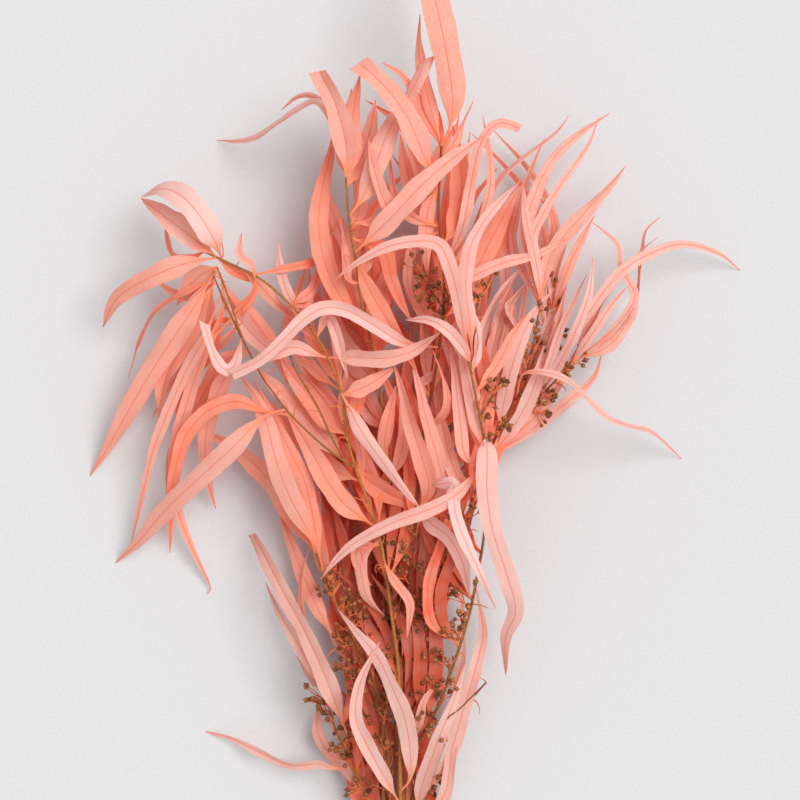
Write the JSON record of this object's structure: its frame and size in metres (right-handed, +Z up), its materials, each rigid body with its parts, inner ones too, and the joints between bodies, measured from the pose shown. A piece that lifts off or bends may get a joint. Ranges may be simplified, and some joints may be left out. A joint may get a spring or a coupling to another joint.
{
  "type": "bunch of dried eucalyptus",
  "caption": "Bunch of preserved, dyed eucalyptus lying on its side: long narrow leaves and small woody buds on leafy stems held by a rubber band.",
  "frame": {"origin": "on the surface that the bunch lies on, under the middle of its bounding box", "axes": "+Y along the bunch from the cut stems to the leaf tips, +Z up off the surface, +X to the right as seen from above with the tips away"},
  "size_m": [0.4558, 0.7262, 0.1162],
  "materials": {
    "leaf": "matt, soft, faintly veined preserved leaf, dyed coral pink",
    "stem": "matt thin bark, olive brown to red brown",
    "bud": "matt woody bud, dull brown with paler ribs",
    "rubber": "matt natural rubber"
  },
  "bodies": {
    "root": {"leafy_stem_a": "leaf", "leafy_stem_b": "leaf", "leafy_stem_c": "leaf", "leafy_stem_d": "leaf", "leafy_stem_e": "leaf", "leafy_stem_f": "leaf", "leafy_stem_g": "leaf", "leafy_stem_h": "leaf", "leafy_stem_i": "leaf", "leafy_stem_j": "leaf", "rubber_band": "rubber"}
  },
  "joints": []
}
